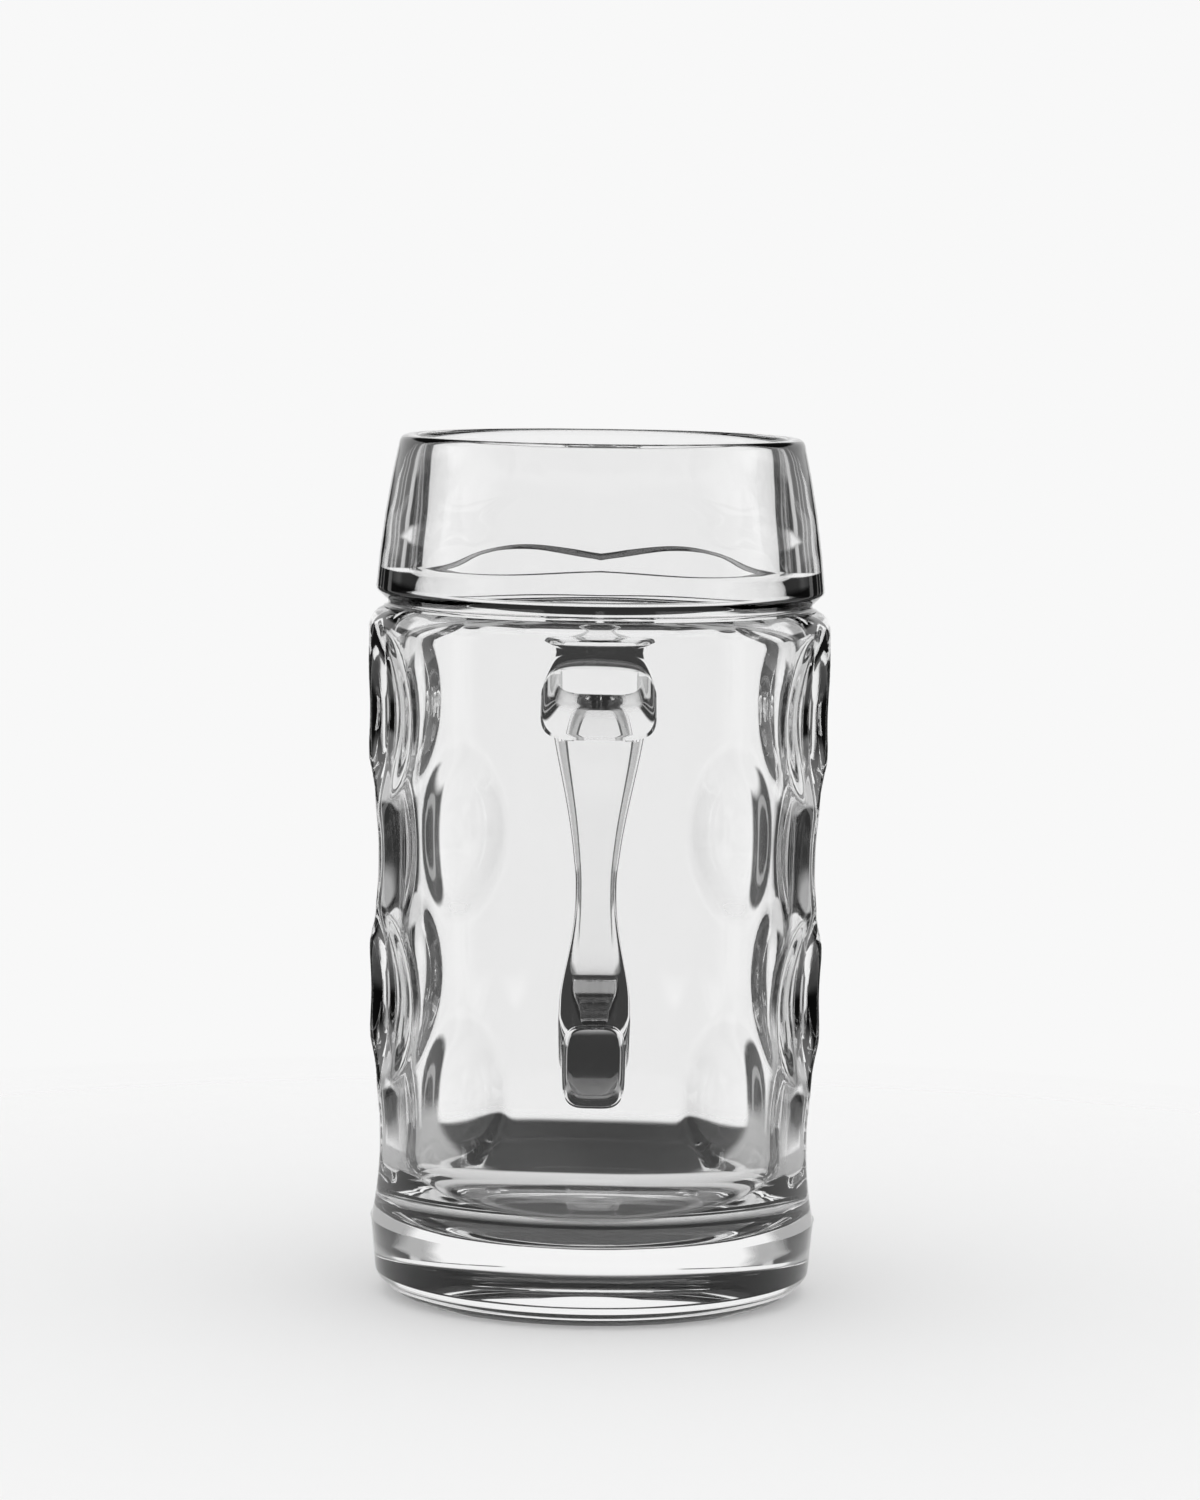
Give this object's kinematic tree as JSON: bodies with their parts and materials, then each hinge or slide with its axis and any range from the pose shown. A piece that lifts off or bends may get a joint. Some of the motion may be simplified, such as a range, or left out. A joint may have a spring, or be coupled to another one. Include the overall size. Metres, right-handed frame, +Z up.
{
  "type": "dimpled glass beer mug",
  "caption": "Tall clear glass beer mug with a smooth collar, staggered rows of round dimples, a thick base and a fused solid handle.",
  "frame": {"origin": "on the axis of the bowl, in the plane that the foot ring stands on", "axes": "+Z up along the bowl's axis, -Y to the smooth front panel, +Y to the handle, +X to the right seen from the front"},
  "size_m": [0.087, 0.13, 0.1618],
  "materials": {
    "bowl_glass": "clear, fire-polished",
    "handle_glass": "clear, fire-polished, with a fine mould seam"
  },
  "bodies": {
    "root": {"bowl": "bowl_glass", "handle": "handle_glass"}
  },
  "joints": []
}
